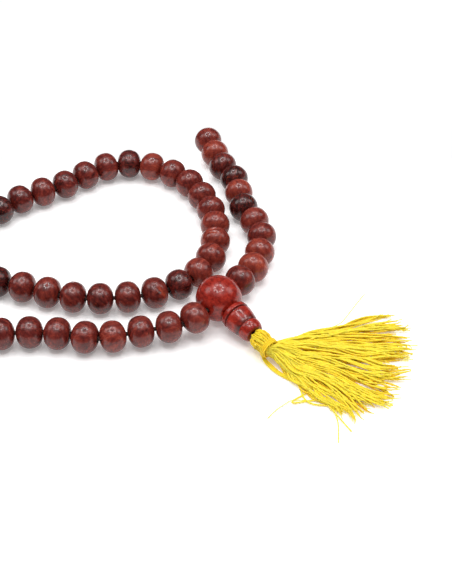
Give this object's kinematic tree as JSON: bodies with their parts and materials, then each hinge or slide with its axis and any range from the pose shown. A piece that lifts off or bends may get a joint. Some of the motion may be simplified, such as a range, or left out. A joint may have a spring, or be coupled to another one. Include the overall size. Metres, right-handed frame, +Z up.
{
  "type": "mala prayer beads",
  "caption": "Loop of turned wooden prayer beads on a string, closed by a larger guru bead, a turned tower bead and a cotton tassel, laid folded on a table.",
  "frame": {"origin": "middle of the mala's footprint, on the table that it lies on", "axes": "+Z up from the table; +X along the long way of the folded loop, towards the tassel; +Y across it, away from the tassel's side"},
  "size_m": [0.2316, 0.1434, 0.0115],
  "materials": {
    "bead_wood": "waxed dark red-brown rosewood, satin",
    "guru_wood": "waxed brick-red wood, satin",
    "string_cord": "dark braided cord, matt",
    "tassel_cotton": "bright yellow twisted cotton thread, soft sheen"
  },
  "bodies": {
    "strand": {"string": "string_cord", "beads_009_to_016": "bead_wood", "beads_017_to_023": "bead_wood", "beads_048_to_057": "bead_wood", "beads_058_to_067": "bead_wood", "beads_068_to_077": "bead_wood", "beads_078_to_087": "bead_wood", "beads_088_to_096": "bead_wood"},
    "guru": {"guru_bead": "guru_wood", "string_tail": "string_cord"},
    "stupa": {"stupa": "guru_wood"},
    "tassel": {"tassel_head": "tassel_cotton", "string_knot": "string_cord", "tassel_binding": "tassel_cotton", "tassel_skirt": "tassel_cotton"},
    "bead_001": {"bead_001": "bead_wood"},
    "bead_002": {"bead_002": "bead_wood"},
    "bead_003": {"bead_003": "bead_wood"},
    "bead_004": {"bead_004": "bead_wood"},
    "bead_005": {"bead_005": "bead_wood"},
    "bead_006": {"bead_006": "bead_wood"},
    "bead_007": {"bead_007": "bead_wood"},
    "bead_008": {"bead_008": "bead_wood"},
    "bead_024": {"bead_024": "bead_wood"},
    "bead_025": {"bead_025": "bead_wood"},
    "bead_026": {"bead_026": "bead_wood"},
    "bead_027": {"bead_027": "bead_wood"},
    "bead_028": {"bead_028": "bead_wood"},
    "bead_029": {"bead_029": "bead_wood"},
    "bead_030": {"bead_030": "bead_wood"},
    "bead_031": {"bead_031": "bead_wood"},
    "bead_032": {"bead_032": "bead_wood"},
    "bead_033": {"bead_033": "bead_wood"},
    "bead_034": {"bead_034": "bead_wood"},
    "bead_035": {"bead_035": "bead_wood"},
    "bead_036": {"bead_036": "bead_wood"},
    "bead_037": {"bead_037": "bead_wood"},
    "bead_038": {"bead_038": "bead_wood"},
    "bead_039": {"bead_039": "bead_wood"},
    "bead_040": {"bead_040": "bead_wood"},
    "bead_041": {"bead_041": "bead_wood"},
    "bead_042": {"bead_042": "bead_wood"},
    "bead_043": {"bead_043": "bead_wood"},
    "bead_044": {"bead_044": "bead_wood"},
    "bead_045": {"bead_045": "bead_wood"},
    "bead_046": {"bead_046": "bead_wood"},
    "bead_047": {"bead_047": "bead_wood"},
    "bead_097": {"bead_097": "bead_wood"},
    "bead_098": {"bead_098": "bead_wood"},
    "bead_099": {"bead_099": "bead_wood"},
    "bead_100": {"bead_100": "bead_wood"},
    "bead_101": {"bead_101": "bead_wood"},
    "bead_102": {"bead_102": "bead_wood"},
    "bead_103": {"bead_103": "bead_wood"},
    "bead_104": {"bead_104": "bead_wood"},
    "bead_105": {"bead_105": "bead_wood"},
    "bead_106": {"bead_106": "bead_wood"},
    "bead_107": {"bead_107": "bead_wood"},
    "bead_108": {"bead_108": "bead_wood"}
  },
  "joints": [
    {"name": "guru_swing", "type": "hinge", "parent": "strand", "child": "guru", "pos_m": [0.06545, -0.03506, 0.00575], "axis": [-0.4981, -0.8627, 0.0872], "range_deg": [0, 110]},
    {"name": "stupa_spin", "type": "hinge", "parent": "guru", "child": "stupa", "pos_m": [0.06545, -0.03506, 0.00575], "axis": [0.6112, -0.7823, -0.1201], "continuous": true},
    {"name": "tassel_swing", "type": "hinge", "parent": "guru", "child": "tassel", "pos_m": [0.07573, -0.04821, 0.00374], "axis": [0, 0, 1], "range_deg": [-30, 30]},
    {"name": "wood_bead_001_spin", "type": "hinge", "parent": "strand", "child": "bead_001", "pos_m": [0.05967, -0.04197, 0.00561], "axis": [-0.8295, -0.5232, -0.1953], "continuous": true},
    {"name": "wood_bead_002_spin", "type": "hinge", "parent": "strand", "child": "bead_002", "pos_m": [0.05349, -0.04419, 0.00468], "axis": [-0.9887, -0.1282, -0.0782], "continuous": true},
    {"name": "wood_bead_003_spin", "type": "hinge", "parent": "strand", "child": "bead_003", "pos_m": [0.0468, -0.0453, 0.00423], "axis": [-0.9784, -0.1997, -0.0533], "continuous": true},
    {"name": "wood_bead_004_spin", "type": "hinge", "parent": "strand", "child": "bead_004", "pos_m": [0.04018, -0.04683, 0.00403], "axis": [-0.968, -0.2507, -0.0064], "continuous": true},
    {"name": "wood_bead_005_spin", "type": "hinge", "parent": "strand", "child": "bead_005", "pos_m": [0.03355, -0.04704, 0.004], "axis": [-0.9817, 0.1903, -0.0019], "continuous": true},
    {"name": "wood_bead_006_spin", "type": "hinge", "parent": "strand", "child": "bead_006", "pos_m": [0.02687, -0.04578, 0.004], "axis": [-0.9834, 0.1816, 0.0015], "continuous": true},
    {"name": "wood_bead_007_spin", "type": "hinge", "parent": "strand", "child": "bead_007", "pos_m": [0.02014, -0.04537, 0.004], "axis": [-0.998, -0.0638, 0], "continuous": true},
    {"name": "wood_bead_008_spin", "type": "hinge", "parent": "strand", "child": "bead_008", "pos_m": [0.01336, -0.04593, 0.004], "axis": [-0.9951, -0.0993, 0], "continuous": true},
    {"name": "wood_bead_024_spin", "type": "hinge", "parent": "strand", "child": "bead_024", "pos_m": [0.00988, -0.02675, 0.004], "axis": [0.9442, -0.3293, 0], "continuous": true},
    {"name": "wood_bead_025_spin", "type": "hinge", "parent": "strand", "child": "bead_025", "pos_m": [0.01636, -0.02881, 0.004], "axis": [0.9617, -0.274, 0], "continuous": true},
    {"name": "wood_bead_026_spin", "type": "hinge", "parent": "strand", "child": "bead_026", "pos_m": [0.02284, -0.03086, 0.004], "axis": [0.9441, -0.3295, 0], "continuous": true},
    {"name": "wood_bead_027_spin", "type": "hinge", "parent": "strand", "child": "bead_027", "pos_m": [0.02939, -0.03263, 0.004], "axis": [0.9816, -0.1909, 0], "continuous": true},
    {"name": "wood_bead_028_spin", "type": "hinge", "parent": "strand", "child": "bead_028", "pos_m": [0.03612, -0.03314, 0.004], "axis": [0.9992, 0.0403, 0], "continuous": true},
    {"name": "wood_bead_029_spin", "type": "hinge", "parent": "strand", "child": "bead_029", "pos_m": [0.04289, -0.03258, 0.004], "axis": [0.9922, 0.1246, 0], "continuous": true},
    {"name": "wood_bead_030_spin", "type": "hinge", "parent": "strand", "child": "bead_030", "pos_m": [0.04946, -0.03099, 0.004], "axis": [0.9401, 0.3409, 0], "continuous": true},
    {"name": "wood_bead_031_spin", "type": "hinge", "parent": "strand", "child": "bead_031", "pos_m": [0.05544, -0.02789, 0.004], "axis": [0.8194, 0.5733, 0], "continuous": true},
    {"name": "wood_bead_032_spin", "type": "hinge", "parent": "strand", "child": "bead_032", "pos_m": [0.06028, -0.02323, 0.004], "axis": [0.6041, 0.7969, 0], "continuous": true},
    {"name": "wood_bead_033_spin", "type": "hinge", "parent": "strand", "child": "bead_033", "pos_m": [0.06331, -0.01726, 0.004], "axis": [0.2849, 0.9586, 0], "continuous": true},
    {"name": "wood_bead_034_spin", "type": "hinge", "parent": "strand", "child": "bead_034", "pos_m": [0.0644, -0.0106, 0.004], "axis": [0.0369, 0.9993, 0], "continuous": true},
    {"name": "wood_bead_035_spin", "type": "hinge", "parent": "strand", "child": "bead_035", "pos_m": [0.06429, -0.00381, 0.004], "axis": [-0.0685, 0.9976, 0], "continuous": true},
    {"name": "wood_bead_036_spin", "type": "hinge", "parent": "strand", "child": "bead_036", "pos_m": [0.06307, 0.00283, 0.004], "axis": [-0.2913, 0.9566, 0], "continuous": true},
    {"name": "wood_bead_037_spin", "type": "hinge", "parent": "strand", "child": "bead_037", "pos_m": [0.06057, 0.00913, 0.004], "axis": [-0.4439, 0.8961, 0], "continuous": true},
    {"name": "wood_bead_038_spin", "type": "hinge", "parent": "strand", "child": "bead_038", "pos_m": [0.05708, 0.01494, 0.004], "axis": [-0.5828, 0.8126, 0], "continuous": true},
    {"name": "wood_bead_039_spin", "type": "hinge", "parent": "strand", "child": "bead_039", "pos_m": [0.05229, 0.01962, 0.004], "axis": [-0.8252, 0.5649, 0], "continuous": true},
    {"name": "wood_bead_040_spin", "type": "hinge", "parent": "strand", "child": "bead_040", "pos_m": [0.04635, 0.02286, 0.004], "axis": [-0.9216, 0.3882, 0], "continuous": true},
    {"name": "wood_bead_041_spin", "type": "hinge", "parent": "strand", "child": "bead_041", "pos_m": [0.03982, 0.02425, 0.004], "axis": [-0.9998, 0.0194, 0], "continuous": true},
    {"name": "wood_bead_042_spin", "type": "hinge", "parent": "strand", "child": "bead_042", "pos_m": [0.03341, 0.02273, 0.004], "axis": [-0.8841, -0.4672, 0], "continuous": true},
    {"name": "wood_bead_043_spin", "type": "hinge", "parent": "strand", "child": "bead_043", "pos_m": [0.02792, 0.01882, 0.004], "axis": [-0.7318, -0.6815, 0], "continuous": true},
    {"name": "wood_bead_044_spin", "type": "hinge", "parent": "strand", "child": "bead_044", "pos_m": [0.02271, 0.01447, 0.004], "axis": [-0.8015, -0.598, 0], "continuous": true},
    {"name": "wood_bead_045_spin", "type": "hinge", "parent": "strand", "child": "bead_045", "pos_m": [0.01688, 0.01105, 0.004], "axis": [-0.9129, -0.4081, 0], "continuous": true},
    {"name": "wood_bead_046_spin", "type": "hinge", "parent": "strand", "child": "bead_046", "pos_m": [0.01113, 0.00752, 0.004], "axis": [-0.777, -0.6295, 0], "continuous": true},
    {"name": "wood_bead_047_spin", "type": "hinge", "parent": "strand", "child": "bead_047", "pos_m": [0.00622, 0.00285, 0.004], "axis": [-0.668, -0.7442, 0], "continuous": true},
    {"name": "wood_bead_097_spin", "type": "hinge", "parent": "strand", "child": "bead_097", "pos_m": [0.05782, 0.04086, 0.004], "axis": [0.7935, -0.6086, 0], "continuous": true},
    {"name": "wood_bead_098_spin", "type": "hinge", "parent": "strand", "child": "bead_098", "pos_m": [0.06205, 0.03575, 0.004], "axis": [0.4505, -0.8928, 0], "continuous": true},
    {"name": "wood_bead_099_spin", "type": "hinge", "parent": "strand", "child": "bead_099", "pos_m": [0.06402, 0.02935, 0.004], "axis": [0.1288, -0.9917, 0], "continuous": true},
    {"name": "wood_bead_100_spin", "type": "hinge", "parent": "strand", "child": "bead_100", "pos_m": [0.06628, 0.02311, 0.004], "axis": [0.5374, -0.8434, 0], "continuous": true},
    {"name": "wood_bead_101_spin", "type": "hinge", "parent": "strand", "child": "bead_101", "pos_m": [0.06945, 0.01712, 0.004], "axis": [0.395, -0.9187, 0], "continuous": true},
    {"name": "wood_bead_102_spin", "type": "hinge", "parent": "strand", "child": "bead_102", "pos_m": [0.07072, 0.01059, 0.004], "axis": [-0.0225, -0.9997, 0], "continuous": true},
    {"name": "wood_bead_103_spin", "type": "hinge", "parent": "strand", "child": "bead_103", "pos_m": [0.07192, 0.00404, 0.004], "axis": [0.3745, -0.9272, 0], "continuous": true},
    {"name": "wood_bead_104_spin", "type": "hinge", "parent": "strand", "child": "bead_104", "pos_m": [0.07476, -0.00213, 0.004], "axis": [0.4619, -0.8869, 0], "continuous": true},
    {"name": "wood_bead_105_spin", "type": "hinge", "parent": "strand", "child": "bead_105", "pos_m": [0.07654, -0.00854, 0.004], "axis": [0.0613, -0.9981, -0.0022], "continuous": true},
    {"name": "wood_bead_106_spin", "type": "hinge", "parent": "strand", "child": "bead_106", "pos_m": [0.0759, -0.01522, 0.00405], "axis": [-0.2487, -0.9684, 0.0181], "continuous": true},
    {"name": "wood_bead_107_spin", "type": "hinge", "parent": "strand", "child": "bead_107", "pos_m": [0.07406, -0.02175, 0.00443], "axis": [-0.2936, -0.9512, 0.0946], "continuous": true},
    {"name": "wood_bead_108_spin", "type": "hinge", "parent": "strand", "child": "bead_108", "pos_m": [0.07074, -0.02746, 0.005], "axis": [-0.6828, -0.7272, 0.0706], "continuous": true}
  ]
}
